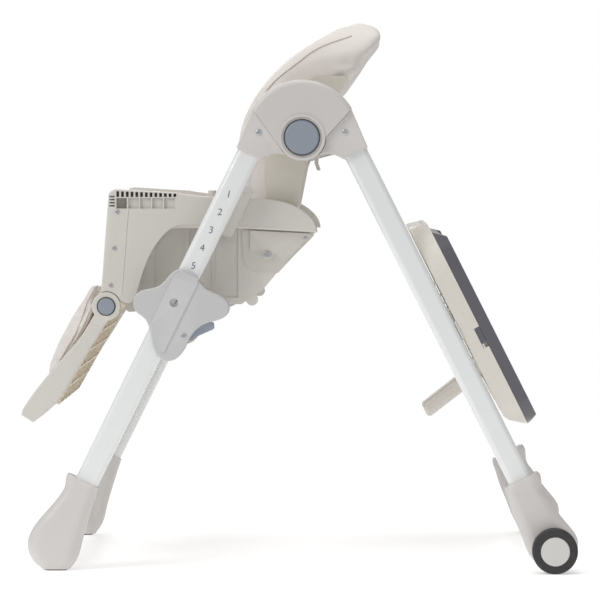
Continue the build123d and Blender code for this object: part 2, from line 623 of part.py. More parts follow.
# ------------------------------------------------------------------------------- legrest
def footrest_arm():
    """A footrest arm: the hinge disc, the long arm and its rounded lower end."""
    shape = curved_face(
        [(-310, 380), (-320, 363), (-333, 343), (-348.5, 324), (-366.5, 304), (-384.5, 283), (-402.5, 260),
         (-419, 235)],
        [(-419, 235), (-420.5, 228)],
        [(-420.5, 228), (-403, 217)],
        [(-403, 217), (-388, 228), (-374, 240), (-361, 256), (-343, 286), (-328, 311), (-313, 334),
         (-302, 352),
         (-284, 378)],
        [(-284, 378), (-310, 380)],
    )
    start = LUG_OUT + RUN
    arm = across(shape, start, LEGREST_ARM_OUT) + disc(LEGREST_PIVOT, LEGREST_DISC_R, start,
                                                       LEGREST_ARM_OUT)
    arm = fillet(rim(arm), 2.0)
    floor = LEGREST_ARM_OUT - LEGREST_BUTTON_DEPTH
    arm -= disc(LEGREST_PIVOT, LEGREST_BUTTON_R + 0.5, floor, LEGREST_ARM_OUT)
    return arm - disc(LEGREST_PIVOT, LEGREST_PIN_R + PIN_RUN, start, LEGREST_ARM_OUT)


def footrest():
    """Both footrest arms and the foot bar between them, one moulding."""
    left = footrest_arm()
    bar = side_face([(-404, 258), (-418.5, 235), (-419.5, 228.5), (-403, 218), (-382, 234), (-374, 241),
                     (-388, 254)], 2.5)
    start = LUG_OUT + RUN
    return left + mirrored(left) + across(bar, -start, start)


def legrest_button():
    floor = LEGREST_ARM_OUT - LEGREST_BUTTON_DEPTH
    button = disc(LEGREST_PIVOT, LEGREST_BUTTON_R, floor + 4.5, LEGREST_ARM_OUT + 1.5)
    return fillet(rim(button), 1.4)


def panel_point(along, out):
    """A point by the calf panel: along it from its top, and out to its front."""
    dy, dz = PANEL_END[0] - PANEL_TOP[0], PANEL_END[1] - PANEL_TOP[1]
    length = math.hypot(dy, dz)
    ay, az = dy / length, dz / length
    return PANEL_TOP[0] + along * ay + out * az, PANEL_TOP[1] + along * az - out * ay


def legrest_panel():
    """The calf panel: a skin with cross ribs behind it, hinged at its top corners."""
    length = math.dist(PANEL_TOP, PANEL_END)
    skin = PANEL_THICK - PANEL_SKIN
    block = side_face([panel_point(0, 0), panel_point(0, PANEL_THICK), panel_point(length, PANEL_THICK),
                       panel_point(length, 0)])
    panel = across(block, -PANEL_HALF, PANEL_HALF)
    wall = 3.0
    pitch = (length - wall) / PANEL_BAYS
    cell = (2 * PANEL_HALF - wall) / 6
    for bay in range(PANEL_BAYS):
        start = wall + bay * pitch
        pocket = side_face([panel_point(start, -1), panel_point(start, skin),
                            panel_point(start + pitch - wall, skin), panel_point(start + pitch - wall, -1)])
        for column in range(6):
            left = -PANEL_HALF + wall + column * cell
            panel -= across(pocket, left, left + cell - wall)
    lug_in = PANEL_HALF - 8
    for side in (-1, 1):
        panel += disc(LEGREST_PIVOT, 15.0, side * lug_in, side * PANEL_HALF)
        web = side_face([(-284, 388), (-301, 382), panel_point(30, 15), panel_point(20, 1),
                         panel_point(1, 1)])
        panel += across(web, side * lug_in, side * PANEL_HALF)
        panel -= disc(LEGREST_PIVOT, LEGREST_PIN_R + PIN_RUN, side * (lug_in - 1), side * PANEL_HALF)
    return panel


def legrest_pad():
    base = PANEL_THICK + RUN
    length = math.dist(PANEL_TOP, PANEL_END)
    shape = side_face([
        panel_point(20, base), panel_point(length - 4, base), panel_point(length - 36, base + 20),
        (-379, 297), (-371, 317), (-361, 340), (-349, 363), (-336, 384), (-323, 403), (-314, 420),
        (-306, 425),
        (-300, 420), (-313, 393),
    ], 3.0)
    return across(shape, -PANEL_HALF + 4, PANEL_HALF - 4)


# ---------------------------------------------------------------------------------- tray
def tray_plane(out):
    """The plane of the stowed tray at a distance out: local x is +X, local y runs up the leg."""
    lean = math.radians(LEAN[REAR])
    y, z = leg_point(REAR, 0, out)
    return Plane(origin=(0, y, z), x_dir=(1, 0, 0), z_dir=(0, -math.cos(lean), -math.sin(lean)))


def tray_face(inset=0.0):
    """The tray's outline: round at the far end, with a belly cut-out at the child's end."""
    half = TRAY_HALF - inset
    start, end = -(TRAY_START + inset), -(TRAY_END - inset)
    plate = make_face(Polyline((-half, start), (half, start), (half, end), (-half, end), close=True))
    plate = fillet(plate.vertices().group_by(Axis.Y)[-1], TRAY_CORNER - inset)
    plate = fillet(plate.vertices().group_by(Axis.Y)[0], 40.0 - inset / 2)
    depth, width = BELLY_DEPTH + inset, BELLY_HALF + inset
    drop = (width ** 2 - depth ** 2) / (2 * depth)
    belly = Pos(0, end - drop) * Circle(drop + depth)
    return plate - belly


def tray_slab(low, high, inset=0.0):
    """The tray's outline between two distances out from the folding axis."""
    return extrude(tray_plane(high) * tray_face(inset), high - low)


def tray_side(*points):
    """A side outline across the whole tray, from distances along the legs and out from the axis."""
    return across(side_face([leg_point(REAR, along, out) for along, out in points]), -TRAY_HALF - 5,
                  TRAY_HALF + 5)


def latch_room(grow=0.0):
    """The release slide at the left side of the tray or, grown, the room that it runs in."""
    travel = LATCH_TRAVEL if grow else 0.0
    outline = Rectangle(LATCH_DEPTH + 2 * grow, LATCH_LENGTH + travel + 2 * grow)
    middle = Pos(TRAY_HALF - FIT - LATCH_DEPTH / 2, -LATCH_ALONG - travel / 2)
    return extrude(tray_plane(TRAY_SPLIT - FIT + grow) * middle * outline, LATCH_DEPTH + 2 * grow)


def tray_body():
    """The light tray: a floor with a skirt, ribbed below, its rim round the insert."""
    body = tray_slab(TRAY_UNDER, TRAY_SPLIT)
    body &= tray_side((TRAY_START - 1, 79), (TRAY_START + 7, 110), (TRAY_END + 1, 110), (TRAY_END - 20, 86),
                      (TRAY_END - 32, 79))
    body -= tray_slab(TRAY_UNDER - 1, TRAY_SPLIT - 5, TRAY_WALL + 1)
    for x in (-150.0, -50.0, 50.0, 150.0):
        rib = extrude(tray_plane(TRAY_SPLIT - 5) * Pos(x, -(TRAY_START + 110)) * Rectangle(TRAY_WALL, 180),
                      14)
        body += rib
    for along in (300.0, 321.0, 334.0, 347.0, 392.0, 436.0):
        for x in (30.0 - TRAY_HALF, TRAY_HALF - 30.0):
            body += extrude(tray_plane(TRAY_SPLIT - 4) * Pos(x, -along) * Rectangle(24, 4),
                            TRAY_SPLIT - 4 - 79.0)
    return body - latch_room(RUN) - mirrored(latch_room(RUN))


def crotch_post():
    foot, tip = leg_point(REAR, *POST_FOOT), leg_point(REAR, *POST_TIP)
    run = (0, tip[0] - foot[0], tip[1] - foot[1])
    section = RectangleRounded(POST_THICK, POST_DEPTH, 10.0)
    post = extrude(tray_plane(POST_FOOT[1]) * Pos(0, -POST_FOOT[0]) * section, math.dist(foot, tip),
                   dir=run)
    return fillet(post.faces().sort_by(Axis.Y)[0].edges(), 6.0)


def tray_insert():
    """The dark removable liner: a dished plate on the tray."""
    insert = tray_slab(TRAY_SPLIT + SEAM, TRAY_FACE)
    insert &= tray_side((TRAY_START + 20, 108), (TRAY_START + 36, 127), (TRAY_END - 9, 127),
                        (TRAY_END + 1, 108))
    return insert - tray_slab(TRAY_SPLIT + 4, TRAY_FACE + 1, 30.0)


def tray_latch():
    """The release slide let into a side of the tray."""
    return latch_room()


def tray_peg():
    """The catch on a rear leg that the stowed tray hangs on."""
    face = LEG_OFFSET + TUBE_DEPTH / 2
    plane = tray_plane(TRAY_UNDER - SEAM)
    peg = extrude(plane * Pos(LEG_X, -(JOINT[REAR] - 20)) * RectangleRounded(14.0, 30.0, 4.0),
                  TRAY_UNDER - SEAM - face)
    return peg


def main():
    os.makedirs("parts", exist_ok=True)
    for leg, name in ((FRONT, "front"), (REAR, "rear")):
        save_pair(f"{name}_upper_tube", upper_tube(leg))
        save_pair(f"{name}_lower_tube", lower_tube(leg))
        save_pair(f"{name}_socket", leg_socket(leg))
        head = hub_rivet(leg)
        save(f"{name}_fasteners", head, mirrored(head), *joint_screws(leg))
    save_pair("hub_housing", hub_housing())
    save("hub_axles", hub_axle(), mirrored(hub_axle()))
    save_pair("hub_button", hub_button())
    save_pair("front_foot", front_foot(), foot=FRONT)
    save("front_foot_pads", front_pad(), mirrored(front_pad()), foot=FRONT)
    save("front_crossbar", crossbar(FRONT_BAR), foot=FRONT)
    save_pair("rear_foot", rear_foot(), foot=REAR)
    save("rear_crossbar", crossbar(REAR_BAR), foot=REAR)
    save("wheel_axles", wheel_axle(), mirrored(wheel_axle()), foot=REAR)
    save_pair("tyre", tyre(), foot=REAR)
    save_pair("wheel_cap", wheel_cap(), foot=REAR)

    save_pair("slider_bracket", slider_bracket())
    save_pair("slider_carriage", slider_carriage())
    save_pair("height_lever", height_lever())
    save_pair("armrest", armrest())
    save("seat_shell", seat_shell())
    save("recline_plates", recline_plate(), mirrored(recline_plate()))
    left = [*arm_screws(), lever_pin(), recline_pivot()]
    save("seat_fasteners", *left, *[mirrored(screw) for screw in left])
    save("seat_pad", seat_pad())
    save("lap_harness", *lap_harness())
    save("harness_buckle", buckle())

    save("back_shell", back_shell())
    save("back_pad", back_pad())
    save("shoulder_straps", *shoulder_straps())
    save("recline_handle", recline_handle())

    save("footrest", footrest())
    save("legrest_panel", legrest_panel())
    save("legrest_pad", legrest_pad())
    save_pair("legrest_button", legrest_button())

    save("tray_body", tray_body())
    save("crotch_post", crotch_post())
    save("tray_insert", tray_insert())
    save_pair("tray_latch", tray_latch())
    save("tray_pegs", tray_peg(), mirrored(tray_peg()))


if __name__ == "__main__":
    main()
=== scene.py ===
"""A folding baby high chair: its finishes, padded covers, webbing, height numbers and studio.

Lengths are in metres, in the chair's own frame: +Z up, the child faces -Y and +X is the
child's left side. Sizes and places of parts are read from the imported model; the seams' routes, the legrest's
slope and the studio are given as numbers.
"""
import json
import logging
import math
from dataclasses import dataclass, field
from enum import Enum
from typing import Callable, Sequence

import bmesh
import bpy
import numpy as np
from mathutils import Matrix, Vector
from mathutils.bvhtree import BVHTree


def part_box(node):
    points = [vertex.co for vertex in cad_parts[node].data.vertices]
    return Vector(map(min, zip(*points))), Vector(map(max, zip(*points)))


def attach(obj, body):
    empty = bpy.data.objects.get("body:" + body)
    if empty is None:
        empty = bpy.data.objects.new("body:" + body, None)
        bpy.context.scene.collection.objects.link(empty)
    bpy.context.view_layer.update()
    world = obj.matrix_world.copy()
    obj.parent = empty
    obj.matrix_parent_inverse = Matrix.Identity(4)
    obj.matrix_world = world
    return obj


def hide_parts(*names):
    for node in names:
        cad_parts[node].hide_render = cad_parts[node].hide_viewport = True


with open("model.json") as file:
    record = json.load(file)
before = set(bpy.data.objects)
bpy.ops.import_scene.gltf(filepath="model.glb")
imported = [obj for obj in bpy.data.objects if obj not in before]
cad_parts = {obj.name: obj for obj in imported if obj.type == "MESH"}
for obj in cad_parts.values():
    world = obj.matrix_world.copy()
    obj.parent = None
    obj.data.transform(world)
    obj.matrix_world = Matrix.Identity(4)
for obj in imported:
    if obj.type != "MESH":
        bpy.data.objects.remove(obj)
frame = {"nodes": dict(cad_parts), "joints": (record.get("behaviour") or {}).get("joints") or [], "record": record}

logging.basicConfig(level=logging.INFO, format="%(message)s")
LOG = logging.getLogger("high_chair")

Point = Sequence[float]
Colour = tuple[float, float, float]
CLOTH_FRAMES = 20        # how long the covers are left to fill
STRAP_WIDTH = 0.025
SEAM_OUTSIDE = 0.25      # how far to the side of a cover its seams are drawn before they are laid
LEG_OFFSET = 0.0605      # how far the middle of a leg lies outside the folding axis
INK_LIFT = 0.00008       # how far the printed numbers stand off the paint


class Side(Enum):
    """A side of the chair, as the sign of X."""

    LEFT = 1
    RIGHT = -1

    @property
    def word(self) -> str:
        """The side's name at the end of a node's name.

        Returns:
            left or right.
        """
        return self.name.lower()


def srgb(red: int, green: int, blue: int) -> Colour:
    """Turns a display colour into the linear one that shaders take.

    Args:
        red, green, blue: the display values, 0 to 255.

    Returns:
        The linear colour.
    """
    def linear(value: int) -> float:
        """Turns one channel.

        Args:
            value: its display value.

        Returns:
            Its linear value.
        """
        share = value / 255
        return share / 12.92 if share <= 0.04045 else ((share + 0.055) / 1.055) ** 2.4

    return linear(red), linear(green), linear(blue)


# ------------------------------------------------------------------------------ finishes
class Graph:
    """The node tree of one material, with short calls for adding and joining its nodes."""

    def __init__(self, name: str) -> None:
        """Starts a material that holds only its shader and its output.

        Args:
            name: the material's name.
        """
        self.material = bpy.data.materials.new(name)
        self.material.use_nodes = True
        self.tree = self.material.node_tree
        self.shader = self.tree.nodes["Principled BSDF"]
        self.place = self.tree.nodes.new("ShaderNodeTexCoord").outputs["Object"]

    def add(self, kind: str, settings: dict | None = None, **inputs: object) -> bpy.types.Node:
        """Adds a node.

        Args:
            kind: the node's type, without the ShaderNode in front.
            settings: the node's own properties.
            inputs: values or sockets for its inputs, with _ for each space in their names.

        Returns:
            The node.
        """
        node = self.tree.nodes.new("ShaderNode" + kind)
        for key, value in (settings or {}).items():
            setattr(node, key, value)
        for key, value in inputs.items():
            self.feed(node.inputs[key.replace("_", " ")], value)
        return node

    def feed(self, socket: bpy.types.NodeSocket, value: object) -> None:
        """Joins a socket to another one, or sets its value.

        Args:
            socket: the socket to feed.
            value: a socket to join to it, or the value that it takes.
        """
        if isinstance(value, bpy.types.NodeSocket):
            self.tree.links.new(value, socket)
        else:
            socket.default_value = value

    def shade(self, **values: object) -> None:
        """Sets or joins the shader's own sockets.

        Args:
            values: values or sockets, with _ for each space in the inputs' names.
        """
        for key, value in values.items():
            self.feed(self.shader.inputs[key.replace("_", " ")], value)

    def noise(self, size: float, detail: float = 3.0, roughness: float = 0.55) -> bpy.types.NodeSocket:
        """A noise pattern.

        Args:
            size: about how large its features are.
            detail: how many finer layers it has.
            roughness: how strong each finer layer is.

        Returns:
            The pattern, 0 to 1.
        """
        node = self.add("TexNoise", Vector=self.place, Scale=1.0 / size, Detail=detail,
                        Roughness=roughness)
        return node.outputs["Fac"]

    def cells(self, size: float) -> bpy.types.NodeSocket:
        """A pattern of rounded cells, as in a fine grain.

        Args:
            size: about how large a cell is.

        Returns:
            The distance from each cell's middle.
        """
        node = self.add("TexVoronoi", {"feature": "SMOOTH_F1"}, Vector=self.place, Scale=1.0 / size)
        return node.outputs["Distance"]

    def spread(self, socket: bpy.types.NodeSocket, low: float, high: float) -> bpy.types.NodeSocket:
        """Maps the middle of a pattern, 0.3 to 0.7, onto a range of values.

        Args:
            socket: the pattern.
            low: the value at 0.3.
            high: the value at 0.7.

        Returns:
            The mapped value.
        """
        node = self.add("MapRange", Value=socket, From_Min=0.3, From_Max=0.7, To_Min=low, To_Max=high)
        return node.outputs["Result"]

    def tint(self, socket: bpy.types.NodeSocket, first: Colour, second: Colour) -> bpy.types.NodeSocket:
        """Blends two colours by a pattern.

        Args:
            socket: the pattern.
            first: the colour at 0.
            second: the colour at 1.

        Returns:
            The blended colour.
        """
        node = self.add("Mix", {"data_type": "RGBA"})
        self.feed(node.inputs[0], socket)
        node.inputs[6].default_value = (*first, 1)
        node.inputs[7].default_value = (*second, 1)
        return node.outputs[2]

    def combine(self, first: bpy.types.NodeSocket, second: bpy.types.NodeSocket,
                share: float) -> bpy.types.NodeSocket:
        """Adds a share of the second pattern to the first.

        Args:
            first, second: the patterns.
            share: how much of the second is added.

        Returns:
            The sum.
        """
        node = self.add("Math", {"operation": "MULTIPLY_ADD"})
        self.feed(node.inputs[0], second)
        self.feed(node.inputs[1], share)
        self.feed(node.inputs[2], first)
        return node.outputs[0]

    def relief(self, height: bpy.types.NodeSocket, strength: float, depth: float) -> None:
        """Raises the surface by a pattern.

        Args:
            height: the pattern.
            strength: how strongly it shows.
            depth: how high it stands, in metres.
        """
        bump = self.add("Bump", Height=height, Strength=strength, Distance=depth)
        self.shade(Normal=bump.outputs["Normal"])

    def edges(self) -> bpy.types.NodeSocket:
        """A mask along worn outer edges.

        Returns:
            The mask, 1 on the edges.
        """
        geometry = self.add("NewGeometry")
        node = self.add("MapRange", Value=geometry.outputs["Pointiness"],
                        From_Min=0.52, From_Max=0.62, To_Min=0.0, To_Max=1.0)
        return node.outputs["Result"]


def shifted(colour: Colour, share: float) -> Colour:
    """Makes a colour lighter or darker.

    Args:
        colour: the colour.
        share: how much of itself is added, below 0 for darker.

    Returns:
        The new colour.
    """
    return tuple(min(1.0, channel * (1 + share)) for channel in colour)


@dataclass(frozen=True)
class MouldedPlastic:
    """Injection-moulded plastic with a fine spark-eroded grain and lightly rubbed edges."""

    name: str
    colour: Colour
    roughness: float = 0.40
    grain: float = 0.0006
    relief: float = 0.10
    wear: float = 0.10
    coat: float = 0.0

    def material(self) -> bpy.types.Material:
        """Builds the finish.

        Returns:
            The material.
        """
        graph = Graph(self.name)
        tone = graph.tint(graph.noise(0.05, 2.0), shifted(self.colour, -0.025),
                          shifted(self.colour, 0.02))
        rubbed = graph.add("Mix", {"data_type": "RGBA"})
        graph.feed(rubbed.inputs[0], graph.edges())
        graph.feed(rubbed.inputs[6], tone)
        rubbed.inputs[7].default_value = (*shifted(self.colour, self.wear), 1)
        graph.shade(Base_Color=rubbed.outputs[2])
        graph.shade(Roughness=graph.spread(graph.noise(0.012), self.roughness - 0.04,
                                           self.roughness + 0.05))
        graph.shade(IOR=1.48, Coat_Weight=self.coat, Coat_Roughness=0.15)
        height = graph.combine(graph.noise(self.grain, 2.0), graph.cells(self.grain * 1.7), 0.6)
        graph.relief(height, self.relief, 0.00012)
        return graph.material


@dataclass(frozen=True)
class PaintedSteel:
    """Gloss powder coat on a steel tube, with the slight waviness of thick paint."""

    name: str
    colour: Colour
    roughness: float = 0.16

    def material(self) -> bpy.types.Material:
        """Builds the finish.

        Returns:
            The material.
        """
        graph = Graph(self.name)
        graph.shade(Base_Color=graph.tint(graph.noise(0.09, 2.0), shifted(self.colour, -0.015),
                                          self.colour))
        graph.shade(Roughness=graph.spread(graph.noise(0.02), self.roughness - 0.03,
                                           self.roughness + 0.05))
        graph.shade(Coat_Weight=0.5, Coat_Roughness=0.06, IOR=1.5)
        graph.relief(graph.combine(graph.noise(0.0035, 1.0), graph.noise(0.0009, 1.0), 0.3), 0.05, 0.0002)
        return graph.material


@dataclass(frozen=True)
class Leatherette:
    """Soft synthetic leather: a pebbled grain over faint creases, with a low sheen."""

    name: str
    colour: Colour
    grain: float = 0.0011
    relief: float = 0.32
    roughness: float = 0.50

    def material(self) -> bpy.types.Material:
        """Builds the finish.

        Returns:
            The material.
        """
        graph = Graph(self.name)
        tone = graph.combine(graph.noise(0.06, 3.0), graph.noise(0.0016, 2.0), 0.25)
        graph.shade(Base_Color=graph.tint(graph.spread(tone, 0.1, 0.9), shifted(self.colour, -0.06),
                                          shifted(self.colour, 0.03)))
        graph.shade(Roughness=graph.spread(graph.noise(0.008), self.roughness - 0.05,
                                           self.roughness + 0.06))
        graph.shade(Sheen_Weight=0.12, Sheen_Roughness=0.4, IOR=1.47)
        creases = graph.add("TexNoise", Vector=graph.place, Scale=38.0, Detail=4.0,
                            Distortion=1.4).outputs["Fac"]
        pebbles = graph.combine(graph.cells(self.grain), graph.noise(self.grain * 0.5, 2.0), 0.35)
        graph.relief(graph.combine(pebbles, creases, 1.6), self.relief, 0.00025)
        return graph.material


@dataclass(frozen=True)
class Rubber:
    """Matt moulded rubber with a dusty, slightly uneven surface."""

    name: str
    colour: Colour

    def material(self) -> bpy.types.Material:
        """Builds the finish.

        Returns:
            The material.
        """
        graph = Graph(self.name)
        dusty = graph.combine(graph.noise(0.015, 4.0), graph.noise(0.0008, 2.0), 0.3)
        graph.shade(Base_Color=graph.tint(graph.spread(dusty, 0.0, 1.0), self.colour,
                                          shifted(self.colour, 0.35)))
        graph.shade(Roughness=graph.spread(graph.noise(0.006), 0.62, 0.78), IOR=1.5)
        graph.relief(graph.noise(0.0007, 3.0), 0.2, 0.0002)
        return graph.material


@dataclass(frozen=True)
class PlatedSteel:
    """Nickel-plated steel with fine turning scratches."""

    name: str
    colour: Colour

    def material(self) -> bpy.types.Material:
        """Builds the finish.

        Returns:
            The material.
        """
        graph = Graph(self.name)
        graph.shade(Base_Color=graph.tint(graph.noise(0.003), shifted(self.colour, -0.1), self.colour))
        graph.shade(Metallic=1.0)
        graph.shade(Roughness=graph.spread(graph.noise(0.001, 4.0), 0.18, 0.34))
        graph.relief(graph.noise(0.0004, 2.0), 0.08, 0.0001)
        return graph.material


@dataclass(frozen=True)
class Webbing:
    """Woven polyester strap: two crossed sets of threads."""

    name: str
    colour: Colour
    thread: float = 0.0012

    def material(self) -> bpy.types.Material:
        """Builds the finish.

        Returns:
            The material.
        """
        graph = Graph(self.name)
        waves = []
        for direction in ("X", "Z"):
            wave = graph.add("TexWave", {"bands_direction": direction}, Vector=graph.place,
                             Scale=0.314 / self.thread, Distortion=0.6, Detail=1.0)
            waves.append(wave.outputs["Fac"])
        weave = graph.combine(waves[0], waves[1], 1.0)
        # The colour darkens where the weave sinks between the threads: painted shade in the grooves.
        graph.shade(Base_Color=graph.tint(graph.spread(weave, 0.0, 0.7), shifted(self.colour, -0.3),
                                          self.colour))
        graph.shade(Roughness=graph.spread(graph.noise(0.002), 0.75, 0.9), Sheen_Weight=0.2)
        graph.relief(weave, 0.5, 0.0004)
        return graph.material


@dataclass(frozen=True)
class Ink:
    """Printed ink on a painted tube, slightly uneven."""

    name: str
    colour: Colour

    def material(self) -> bpy.types.Material:
        """Builds the finish.

        Returns:
            The material.
        """
        graph = Graph(self.name)
        graph.shade(Base_Color=graph.tint(graph.noise(0.0015), self.colour, shifted(self.colour, 0.4)))
        graph.shade(Roughness=graph.spread(graph.noise(0.001), 0.4, 0.55))
        return graph.material


WARM_GREY = srgb(204, 200, 197)
COVER_BEIGE = srgb(221, 214, 209)

FINISHES = {
    "tube_paint": PaintedSteel("white_gloss_paint", srgb(229, 230, 230)),
    "bar_paint": PaintedSteel("white_bar_paint", srgb(226, 228, 230)),
    "hub_plastic": MouldedPlastic("warm_grey_hub_plastic", WARM_GREY),
    "slider_plastic": MouldedPlastic("cool_grey_slider_plastic", srgb(193, 193, 193)),
    "button_plastic": MouldedPlastic("slate_button_plastic", srgb(143, 150, 160), roughness=0.34),
    "seat_plastic": MouldedPlastic("warm_grey_seat_plastic", srgb(206, 202, 196), roughness=0.44),
    # The back shell's finish is the seat's warm grey plastic made darker and more olive: painted shade for its
    # rear, which lies in shade.
    "painted_shade_back_shell": MouldedPlastic("grey_plastic_with_painted_shade", srgb(200, 195, 184), roughness=0.46),
    "panel_plastic": MouldedPlastic("tan_panel_plastic", srgb(222, 212, 194), roughness=0.46),
    "tray_plastic": MouldedPlastic("tray_plastic", srgb(211, 206, 198), roughness=0.30, relief=0.05,
                                   coat=0.2),
    "insert_plastic": MouldedPlastic("charcoal_liner_plastic", srgb(84, 84, 90), roughness=0.22,
                                     relief=0.03,
                                     coat=0.5),
    "cover": Leatherette("beige_leatherette", COVER_BEIGE),
    "webbing": Webbing("grey_webbing", srgb(150, 146, 142)),
    "tyre_rubber": Rubber("tyre_rubber", srgb(44, 43, 45)),
    "pad_rubber": Rubber("foot_pad_rubber", srgb(92, 92, 94)),
    "wheel_plastic": MouldedPlastic("wheel_plastic", srgb(203, 201, 198), roughness=0.36),
    "fastener_steel": PlatedSteel("nickel_plated_steel", srgb(206, 207, 210)),
}

# The back shell takes the darker copy of the seat plastic, with its painted shade; the slider carriages take the
# seat plastic.
OWN_FINISH = {"back_shell": "painted_shade_back_shell", "slider_carriage_left": "seat_plastic",
              "slider_carriage_right": "seat_plastic"}


class Palette:
    """The finishes, each built once and handed out by the record's slot names."""

    def __init__(self) -> None:
        """Starts with nothing built."""
        self.built: dict[str, bpy.types.Material] = {}

    def slot(self, name: str) -> bpy.types.Material:
        """The material of one of the record's slots.

        Args:
            name: the slot's name.

        Returns:
            The material, built at its first use.
        """
        if name not in self.built:
            self.built[name] = FINISHES[name].material()
        return self.built[name]

    def dress_nodes(self) -> None:
        """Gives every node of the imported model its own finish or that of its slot."""
        for entry in frame["record"]["subparts"]:
            node = frame["nodes"][entry["node"]]
            node.data.materials.clear()
            node.data.materials.append(self.slot(OWN_FINISH.get(entry["node"], entry["material_slot"])))
        LOG.info("dressed %d nodes", len(frame["nodes"]))


# ------------------------------------------------------------------------- shared meshing
def new_piece(name: str, mesh: bpy.types.Mesh) -> bpy.types.Object:
    """Puts a mesh in the scene, smooth shaded.

    Args:
        name: the piece's name.
        mesh: its mesh.

    Returns:
        The piece.
    """
    piece = bpy.data.objects.new(name, mesh)
    bpy.context.scene.collection.objects.link(piece)
    mesh.shade_smooth()
    return piece


def evaluated_mesh(piece: bpy.types.Object) -> bpy.types.Mesh:
    """Makes a mesh of a piece as its modifiers leave it.

    Args:
        piece: the piece.

    Returns:
        The new mesh.
    """
    graph = bpy.context.evaluated_depsgraph_get()
    return bpy.data.meshes.new_from_object(piece.evaluated_get(graph))


def points_of(mesh: bpy.types.Mesh) -> np.ndarray:
    """Lists the vertices of a mesh.

    Args:
        mesh: the mesh.

    Returns:
        A row of X, Y and Z for each vertex.
    """
    flat = np.empty(len(mesh.vertices) * 3)
    mesh.vertices.foreach_get("co", flat)
    return flat.reshape(-1, 3)


def set_points(mesh: bpy.types.Mesh, points: np.ndarray) -> None:
    """Moves the vertices of a mesh to new places.

    Args:
        mesh: the mesh.
        points: a row of X, Y and Z for each vertex.
    """
    mesh.vertices.foreach_set("co", points.astype(np.float32).ravel())
    mesh.update()


def apply_modifiers(piece: bpy.types.Object) -> None:
    """Bakes a piece's modifiers into its mesh.

    Args:
        piece: the piece.
    """
    mesh = evaluated_mesh(piece)
    piece.modifiers.clear()
    piece.data = mesh


def surface_of(piece: bpy.types.Object) -> BVHTree:
    """Makes a search tree over a piece's faces.

    Args:
        piece: the piece.

    Returns:
        The tree.
    """
    graph = bpy.context.evaluated_depsgraph_get()
    return BVHTree.FromObject(piece, graph)


def tube_mesh(name: str, path: Sequence[Vector], radius: float, closed: bool = False,
              ring: int = 10) -> bpy.types.Mesh:
    """A round tube along a path.

    Args:
        name: the mesh's name.
        path: the points that the middle of the tube passes.
        radius: the tube's radius.
        closed: whether the path's end joins its start.
        ring: how many points go round the tube.

    Returns:
        The tube's mesh, with rounded ends unless it is closed.
    """
    bm = bmesh.new()
    count = len(path)
    rings = []
    side = Vector((1, 0, 0))
    for index, point in enumerate(path):
        before = path[index - 1] if index or closed else path[index]
        after = path[(index + 1) % count] if index < count - 1 or closed else path[index]
        along = (after - before).normalized()
        up = along.cross(side).normalized() if along.cross(side).length > 1e-4 else Vector((0, 0, 1))
        across = up.cross(along).normalized()
        size = radius if closed or 0 < index < count - 1 else radius * 0.5
        turns = [2 * math.pi * step / ring for step in range(ring)]
        rings.append([bm.verts.new(point + size * (math.cos(turn) * across + math.sin(turn) * up))
                      for turn in turns])
    pairs = list(zip(rings, rings[1:])) + ([(rings[-1], rings[0])] if closed else [])
    for first, second in pairs:
        for step in range(ring):
            bm.faces.new((first[step], first[(step + 1) % ring], second[(step + 1) % ring], second[step]))
    if not closed:
        bm.faces.new(list(reversed(rings[0])))
        bm.faces.new(rings[-1])
    bmesh.ops.recalc_face_normals(bm, faces=bm.faces)
    mesh = bpy.data.meshes.new(name)
    bm.to_mesh(mesh)
    bm.free()
    return mesh


def smooth_path(points: Sequence[Vector], steps: int) -> list[Vector]:
    """Parts a smooth curve through a few points (Catmull-Rom).

    Args:
        points: the points that the curve passes.
        steps: how many parts lie between two of them.

    Returns:
        The points along the curve.
    """
    path = []
    padded = [points[0], *points, points[-1]]
    for a, b, c, d in zip(padded, padded[1:], padded[2:], padded[3:]):
        for step in range(steps):
            t = step / steps
            path.append(0.5 * (2 * b + (c - a) * t + (2 * a - 5 * b + 4 * c - d) * t * t
                               + (3 * b - a - 3 * c + d) * t ** 3))
    return [*path, points[-1].copy()]


def finish_piece(piece: bpy.types.Object, material: bpy.types.Material, body: str) -> bpy.types.Object:
    """Dresses a piece and lets it ride on its body.

    Args:
        piece: the piece.
        material: its finish.
        body: the body's name.

    Returns:
        The piece.
    """
    piece.data.materials.clear()
    piece.data.materials.append(material)
    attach(piece, body)
    LOG.info("made %s on %s", piece.name, body)
    return piece


